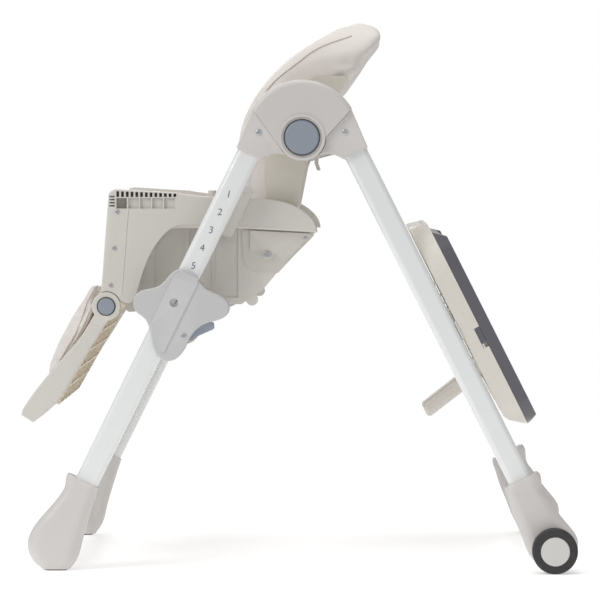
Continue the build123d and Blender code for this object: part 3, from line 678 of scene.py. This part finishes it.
# ---------------------------------------------------------------------------- soft covers
@dataclass
class SoftCover:
    """A foam pad in a sewn cover, puffed from the plain solid of its node.

    A point is held where the backed test says that something rigid lies behind it.
    """

    node: str
    body: str
    backed: Callable[[np.ndarray], np.ndarray]
    voxel: float = 0.005
    shrink: float = 0.003
    pressure: float = 4.0
    cap: float = 0.008
    fill: float = 0.6
    smoothing: int = 12
    grooves: list[Callable[[np.ndarray], np.ndarray]] = field(default_factory=list)

    def build(self, palette: Palette) -> bpy.types.Object:
        """Makes the cover.

        Args:
            palette: the finishes.

        Returns:
            The cover, riding on its body in place of its node.
        """
        piece = self.remeshed()
        self.puff(piece)
        self.sew(piece)
        finish_piece(piece, palette.slot("cover"), self.body)
        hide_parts(self.node)
        return piece

    def remeshed(self) -> bpy.types.Object:
        """Makes the plain solid an even mesh, its corners rounded and a little smaller.

        Returns:
            The cover before it is filled.
        """
        piece = new_piece(self.node + "_cover", frame["nodes"][self.node].data.copy())
        remesh = piece.modifiers.new("Even", "REMESH")
        remesh.mode = "VOXEL"
        remesh.voxel_size = self.voxel
        soften = piece.modifiers.new("Soften", "SMOOTH")
        soften.factor = 0.5
        soften.iterations = self.smoothing
        apply_modifiers(piece)
        mesh = piece.data
        normals = np.empty(len(mesh.vertices) * 3)
        mesh.vertices.foreach_get("normal", normals)
        set_points(mesh, points_of(mesh) - self.shrink * normals.reshape(-1, 3))
        return piece

    def puff(self, piece: bpy.types.Object) -> None:
        """Lets cloth simulation fill the cover, up to the cap and never where it is backed.

        Args:
            piece: the cover.
        """
        start = points_of(piece.data)
        held = self.backed(start)
        group = piece.vertex_groups.new(name="held")
        group.add([int(index) for index in np.nonzero(held)[0]], 1.0, "ADD")
        cloth = piece.modifiers.new("Cover", "CLOTH")
        settings = cloth.settings
        settings.quality = 4
        settings.mass = 0.3
        settings.tension_stiffness = 12
        settings.compression_stiffness = 8
        settings.bending_stiffness = 0.6
        settings.use_pressure = True
        settings.uniform_pressure_force = self.pressure
        settings.effector_weights.gravity = 0.0
        settings.vertex_group_mass = "held"
        cloth.collision_settings.use_collision = False
        cloth.point_cache.frame_start, cloth.point_cache.frame_end = 1, CLOTH_FRAMES
        for step in range(1, CLOTH_FRAMES + 1):
            bpy.context.scene.frame_set(step)
        moved = points_of(evaluated_mesh(piece)) - start
        piece.modifiers.clear()
        bpy.context.scene.frame_set(1)
        length = np.maximum(np.linalg.norm(moved, axis=1, keepdims=True), 1e-9)
        set_points(piece.data, start + moved * np.minimum(1.0, self.cap / length))
        piece.vertex_groups.clear()

    def sew(self, piece: bpy.types.Object) -> None:
        """Adds the sewn channels to a finer mesh.

        Args:
            piece: the cover.
        """
        fine = piece.modifiers.new("Fine", "SUBSURF")
        fine.levels = fine.render_levels = 1
        apply_modifiers(piece)
        mesh = piece.data
        points = points_of(mesh)
        normals = np.empty(len(mesh.vertices) * 3)
        mesh.vertices.foreach_get("normal", normals)
        depth = np.zeros(len(points))
        for groove in self.grooves:
            depth = np.maximum(depth, groove(points))
        set_points(mesh, points - depth[:, None] * normals.reshape(-1, 3))
        mesh.shade_smooth()


def channel(distance: np.ndarray, depth: float = 0.004, width: float = 0.007) -> np.ndarray:
    """Shapes a sewn channel.

    Args:
        distance: how far each point lies from the seam.
        depth: how deep the channel is at the seam.
        width: how far out it reaches.

    Returns:
        The channel's depth at each point.
    """
    return depth * np.exp(-(distance / width) ** 2)


@dataclass
class Piping:
    """The corded seam of a cover, laid on its surface along a few points."""

    name: str
    body: str
    radius: float = 0.0015
    steps: int = 14

    def build(self, palette: Palette, cover: bpy.types.Object,
              points: Sequence[Point]) -> bpy.types.Object:
        """Lays the seam.

        Args:
            palette: the finishes.
            cover: the puffed cover.
            points: where the seam passes, outside the cover and level with its line.

        Returns:
            The seam's tube.
        """
        tree = surface_of(cover)
        path = []
        for point in smooth_path([Vector(p) for p in points], self.steps):
            inward = Vector((-math.copysign(1.0, point.x), 0, 0))
            near, normal, _, _ = tree.ray_cast(point, inward)
            if near is not None:
                path.append(near + normal * self.radius * 0.3)
        for _ in range(4):
            inner = [(a + 2 * b + c) / 4 for a, b, c in zip(path, path[1:], path[2:])]
            path = [path[0], *inner, path[-1]]
        piece = new_piece(self.name, tube_mesh(self.name, path, self.radius, ring=8))
        return finish_piece(piece, palette.slot("cover"), self.body)


@dataclass
class Covers:
    """The three padded covers and their corded seams."""

    palette: Palette

    def build(self) -> dict[str, bpy.types.Object]:
        """Makes the covers.

        Returns:
            The covers by the name of the node that each stands for.
        """
        return {
            "seat_pad": self.seat(),
            "back_pad": self.back(),
            "legrest_pad": self.legrest(),
        }

    def seat(self) -> bpy.types.Object:
        """Makes the seat cushion, flat below, with a sewn channel near its front and one at each side.

        Returns:
            The cushion.
        """
        low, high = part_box("seat_pad")
        cushion = SoftCover(
            "seat_pad", "seat",
            backed=lambda p: (p[:, 2] < low.z + 0.008) | (np.abs(p[:, 0]) > high.x - 0.006),
            cap=0.007,
            grooves=[
                lambda p: channel(p[:, 1] - (low.y + 0.052)) * (p[:, 2] > low.z + 0.015),
                lambda p: channel(np.abs(p[:, 0]) - 0.115) * (p[:, 2] > low.z + 0.015),
            ],
        )
        return cushion.build(self.palette)

    def back(self) -> bpy.types.Object:
        """Makes the backrest's cover, with two cross channels and two corded seams on each side.

        Returns:
            The cover.
        """
        low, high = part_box("back_pad")
        inner = 0.118
        cover = SoftCover(
            "back_pad", "backrest",
            backed=lambda p: (p[:, 2] < 0.70) & ((p[:, 1] > 0.0) | (np.abs(p[:, 0]) > high.x - 0.006)),
            shrink=0.0,
            cap=0.004,
            smoothing=10,
            grooves=[
                lambda p: channel(p[:, 2] - 0.612) * (np.abs(p[:, 0]) < inner),
                lambda p: channel(p[:, 2] - 0.700) * (np.abs(p[:, 0]) < inner),
            ],
        )
        piece = cover.build(self.palette)
        for side in Side:
            edge = side.value * SEAM_OUTSIDE
            route = [(edge, -0.073, 0.660), (edge, -0.047, 0.716), (edge, 0.000, 0.757),
                     (edge, 0.032, 0.779), (edge, 0.079, 0.796)]
            Piping(f"back_seam_{side.word}", "backrest").build(self.palette, piece, route)
            route = [(edge, -0.050, 0.510), (edge, -0.050, 0.560), (edge, -0.046, 0.600),
                     (edge, -0.052, 0.640)]
            Piping(f"wing_seam_{side.word}", "backrest").build(self.palette, piece, route)
        return piece

    def legrest(self) -> bpy.types.Object:
        """Makes the calf cushion, held against its panel, with two corded seams on each side.

        Returns:
            The cushion.
        """
        slope = Vector((0, -0.4923, -0.8704))
        out = Vector((0, -0.8704, 0.4923))
        top = Vector((0, -0.284, 0.377))

        def beyond(p: np.ndarray) -> np.ndarray:
            """Measures how far points stand in front of the panel's back.

            Args:
                p: a row of X, Y and Z for each point.

            Returns:
                Each point's distance.
            """
            return (p[:, 1] - top.y) * out.y + (p[:, 2] - top.z) * out.z

        def along(p: np.ndarray) -> np.ndarray:
            """Measures how far points lie down the panel.

            Args:
                p: a row of X, Y and Z for each point.

            Returns:
                Each point's distance.
            """
            return (p[:, 1] - top.y) * slope.y + (p[:, 2] - top.z) * slope.z

        cushion = SoftCover(
            "legrest_pad", "legrest",
            backed=lambda p: beyond(p) < 0.026,
            shrink=0.001,
            cap=0.006,
            smoothing=8,
            grooves=[
                lambda p: channel(along(p) - 0.075) * (beyond(p) > 0.035) * (np.abs(p[:, 0]) < 0.12),
            ],
        )
        piece = cushion.build(self.palette)
        for side in Side:
            edge = side.value * SEAM_OUTSIDE
            route = [(edge, -0.308, 0.416), (edge, -0.319, 0.395), (edge, -0.326, 0.374),
                     (edge, -0.336, 0.349), (edge, -0.348, 0.328), (edge, -0.360, 0.308)]
            Piping(f"calf_seam_{side.word}", "legrest").build(self.palette, piece, route)
            route = [(edge, -0.303, 0.412), (edge, -0.313, 0.386), (edge, -0.326, 0.357),
                     (edge, -0.340, 0.333)]
            Piping(f"gusset_seam_{side.word}", "legrest").build(self.palette, piece, route)
        return piece


# -------------------------------------------------------------------------------- webbing
@dataclass
class Strap:
    """A length of webbing laid on a cover."""

    name: str
    body: str
    width: float = STRAP_WIDTH
    thick: float = 0.0016

    def build(self, palette: Palette, cover: bpy.types.Object, route: Sequence[Vector], toward: Vector,
              across: Vector) -> bpy.types.Object:
        """Lays the strap.

        Args:
            palette: the finishes.
            cover: what the strap lies on.
            route: points above the cover along the strap's middle.
            toward: the direction in which the cover lies.
            across: the direction of the strap's width.

        Returns:
            The strap.
        """
        tree = surface_of(cover)
        bm = bmesh.new()
        rows = []
        for middle in smooth_path(route, 8):
            row = []
            for step in range(-2, 3):
                start = middle + across * (self.width * step / 4)
                hit = tree.ray_cast(start, toward)[0]
                base = (hit if hit else start) - toward * 0.0008
                row.append((bm.verts.new(base), bm.verts.new(base - toward * self.thick)))
            rows.append(row)
        for first, second in zip(rows, rows[1:]):
            corners = zip(first, first[1:], second, second[1:])
            for (a, a_top), (b, b_top), (c, c_top), (d, d_top) in corners:
                bm.faces.new((a, b, d, c))
                bm.faces.new((a_top, c_top, d_top, b_top))
            for edge in (0, -1):
                bm.faces.new((first[edge][0], second[edge][0], second[edge][1], first[edge][1]))
        for row in (rows[0], rows[-1]):
            for left, right in zip(row, row[1:]):
                bm.faces.new((left[0], right[0], right[1], left[1]))
        bmesh.ops.recalc_face_normals(bm, faces=bm.faces)
        mesh = bpy.data.meshes.new(self.name)
        bm.to_mesh(mesh)
        bm.free()
        piece = new_piece(self.name, mesh)
        return finish_piece(piece, palette.slot("webbing"), self.body)


@dataclass
class Harness:
    """The shoulder, lap and crotch straps."""

    palette: Palette
    covers: dict[str, bpy.types.Object]

    def build(self) -> None:
        """Lays the straps on the covers."""
        low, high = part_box("shoulder_straps")
        for side in Side:
            middle = side.value * (high.x - STRAP_WIDTH / 2)
            route = [Vector((middle, low.y - 0.05, z)) for z in np.linspace(low.z, high.z, 5)]
            strap = Strap(f"shoulder_strap_{side.word}", "backrest")
            piece = strap.build(self.palette, self.covers["back_pad"], route, Vector((0, 1, 0)),
                                Vector((1, 0, 0)))
            if side is Side.LEFT:
                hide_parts("shoulder_straps")
        low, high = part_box("lap_harness")
        buckle_low, buckle_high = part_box("harness_buckle")
        lap_y = (buckle_low.y + buckle_high.y) / 2
        down = Vector((0, 0, -1))
        for side in Side:
            route = [Vector((side.value * x, lap_y, high.z + 0.03)) for x in (0.024, 0.07, 0.115, high.x)]
            strap = Strap(f"lap_strap_{side.word}", "seat")
            piece = strap.build(self.palette, self.covers["seat_pad"], route, down, Vector((0, 1, 0)))
            if side is Side.LEFT:
                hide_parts("lap_harness")
        route = [Vector((0, y, high.z + 0.03)) for y in np.linspace(low.y, buckle_low.y - 0.001, 4)]
        strap = Strap("crotch_strap", "seat")
        strap.build(self.palette, self.covers["seat_pad"], route, down, Vector((1, 0, 0)))


# ---------------------------------------------------------------------------- height marks
@dataclass
class HeightNumbers:
    """The printed numbers 1 to 7 down the outer face of each front leg."""

    first: float = 0.1235
    pitch: float = 0.0295
    count: int = 7
    size: float = 0.0145

    def build(self) -> None:
        """Prints the numbers on both legs."""
        ink = Ink("slate_ink", srgb(96, 98, 102)).material()
        fold = next(joint for joint in frame["joints"] if joint["name"] == "frame_fold")
        rise = next(joint for joint in frame["joints"] if joint["name"] == "seat_height")
        run = Vector((0, -rise["axis"][1], -rise["axis"][2]))
        out = Vector((0, run.z, -run.y))
        start = Vector(fold["pos_m"]) + out * LEG_OFFSET
        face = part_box("front_upper_tube_left")[1].x
        for side in Side:
            for index in range(self.count):
                middle = start + run * (self.first + self.pitch * index)
                place = Vector((side.value * (face + INK_LIFT), middle.y, middle.z))
                self.print_number(index + 1, side, place, ink)

    def print_number(self, value: int, side: Side, place: Vector, ink: bpy.types.Material) -> None:
        """Prints one number, upright, on a leg's outer face.

        Args:
            value: the number.
            side: the leg's side.
            place: the number's middle.
            ink: its finish.
        """
        name = f"height_{value}_{side.word}"
        curve = bpy.data.curves.new(name, "FONT")
        curve.body = str(value)
        curve.size = self.size
        curve.align_x, curve.align_y = "CENTER", "CENTER"
        curve.extrude = 0.00005
        text = bpy.data.objects.new(name, curve)
        bpy.context.scene.collection.objects.link(text)
        curve.shear = 0.18
        text.rotation_euler = (math.pi / 2, 0, side.value * math.pi / 2)
        text.location = place
        bpy.context.view_layer.update()
        mesh = evaluated_mesh(text)
        mesh.transform(text.matrix_world)
        bpy.data.objects.remove(text)
        finish_piece(new_piece(name, mesh), ink, "front_frame")


# ----------------------------------------------------------------------------- painted shade at button gaps
@dataclass
class ShadowGapCord:
    """A dark cord round a pushbutton: painted shade for the shaded gap between button and housing."""

    button: str
    around: str
    body: str
    cord: float = 0.001

    def build(self, palette: Palette) -> bpy.types.Object:
        """Lays the cord half sunk in the outer face round the button.

        Args:
            palette: the finishes.

        Returns:
            The cord.
        """
        low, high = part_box(self.button)
        face_low, face_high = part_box(self.around)
        middle = (low + high) / 2
        face = face_high.x if middle.x > 0 else face_low.x
        radius = (high.z - low.z) / 2 + self.cord / 2
        path = [Vector((face, middle.y + radius * math.cos(turn), middle.z + radius * math.sin(turn)))
                for turn in np.linspace(0, 2 * math.pi, 48, endpoint=False)]
        name = self.button + "_shadow_gap"
        piece = new_piece(name, tube_mesh(name, path, self.cord, closed=True))
        # The cord takes the dark tyre rubber finish as painted shade.
        return finish_piece(piece, palette.slot("tyre_rubber"), self.body)


# --------------------------------------------------------------------------------- studio
@dataclass
class Studio:
    """A pale floor that fades into a white surround, soft lights and the camera."""

    camera_at: Point = (5.316, 0.0917, 0.601)
    aim: Point = (0.256, 0.003, 0.405)
    lens: float = 205.6
    surround: float = 0.46

    def build(self) -> None:
        """Sets up the studio."""
        self.floor()
        self.world()
        self.lamp("key", (2.0, -2.4, 2.6), 1.8, 50.0, (0, 0, 0.45))
        self.lamp("fill", (3.6, 1.4, 1.0), 2.2, 7.5, (0, 0, 0.4))
        self.lamp("top", (0.1, 0.2, 3.2), 1.8, 27.0, (0, 0, 0.3))
        self.lamp("far", (-2.6, -0.8, 2.0), 2.0, 20.0, (0, 0, 0.4))
        self.camera()
        bpy.context.scene.view_settings.view_transform = "Standard"

    def floor(self) -> None:
        """A round white floor whose rim fades away."""
        bm = bmesh.new()
        bmesh.ops.create_circle(bm, cap_ends=True, segments=96, radius=4.0)
        mesh = bpy.data.meshes.new("floor")
        bm.to_mesh(mesh)
        bm.free()
        floor = bpy.data.objects.new("floor", mesh)
        bpy.context.scene.collection.objects.link(floor)
        material = bpy.data.materials.new("pale_floor")
        material.use_nodes = True
        tree = material.node_tree
        shader = tree.nodes["Principled BSDF"]
        shader.inputs["Base Color"].default_value = (0.93, 0.93, 0.93, 1)
        shader.inputs["Roughness"].default_value = 0.9
        shader.inputs["Emission Color"].default_value = (1, 1, 1, 1)
        shader.inputs["Emission Strength"].default_value = 0.36
        place = tree.nodes.new("ShaderNodeTexCoord")
        length = tree.nodes.new("ShaderNodeVectorMath")
        length.operation = "LENGTH"
        fade = tree.nodes.new("ShaderNodeMapRange")
        fade.inputs["From Min"].default_value, fade.inputs["From Max"].default_value = 0.9, 2.4
        fade.inputs["To Min"].default_value, fade.inputs["To Max"].default_value = 1.0, 0.0
        tree.links.new(place.outputs["Object"], length.inputs[0])
        tree.links.new(length.outputs["Value"], fade.inputs["Value"])
        tree.links.new(fade.outputs["Result"], shader.inputs["Alpha"])
        floor.data.materials.append(material)

    def world(self) -> None:
        """A surround that looks white and lights the chair more gently."""
        world = bpy.data.worlds.new("surround")
        world.use_nodes = True
        tree = world.node_tree
        background = tree.nodes["Background"]
        background.inputs["Color"].default_value = (1, 1, 1, 1)
        ray = tree.nodes.new("ShaderNodeLightPath")
        level = tree.nodes.new("ShaderNodeMapRange")
        level.inputs["To Min"].default_value = self.surround
        level.inputs["To Max"].default_value = 1.0
        tree.links.new(ray.outputs["Is Camera Ray"], level.inputs["Value"])
        tree.links.new(level.outputs["Result"], background.inputs["Strength"])
        bpy.context.scene.world = world

    def lamp(self, name: str, place: Point, size: float, watts: float, aim: Point) -> None:
        """Adds a square soft light.

        Args:
            name: the light's name.
            place: where it stands.
            size: the length of its side.
            watts: its power.
            aim: the point that it faces.
        """
        light = bpy.data.lights.new(name, "AREA")
        light.shape, light.size, light.energy = "SQUARE", size, watts
        lamp = bpy.data.objects.new(name, light)
        lamp.location = place
        lamp.rotation_euler = (Vector(aim) - Vector(place)).to_track_quat("-Z", "Y").to_euler()
        bpy.context.scene.collection.objects.link(lamp)

    def camera(self) -> None:
        """Adds the camera, level with the seat and square to the chair's side."""
        data = bpy.data.cameras.new("camera")
        data.lens = self.lens
        data.clip_start, data.clip_end = 0.1, 50.0
        camera = bpy.data.objects.new("camera", data)
        camera.location = self.camera_at
        camera.rotation_euler = (Vector(self.aim) - Vector(self.camera_at)).to_track_quat("-Z",
                                                                                          "Y").to_euler()
        bpy.context.scene.collection.objects.link(camera)
        bpy.context.scene.camera = camera


def main() -> None:
    """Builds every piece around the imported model."""
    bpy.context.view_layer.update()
    palette = Palette()
    palette.dress_nodes()
    covers = Covers(palette).build()
    Harness(palette, covers).build()
    HeightNumbers().build()
    for side in Side:
        # Dark cords of painted shade round the hub and legrest buttons.
        ShadowGapCord(f"hub_button_{side.word}", f"hub_housing_{side.word}", "front_frame",
                0.0006).build(palette)
        ShadowGapCord(f"legrest_button_{side.word}", "footrest", "legrest").build(palette)
    Studio().build()
    LOG.info("the chair is built")


if __name__ == "__main__":
    main()
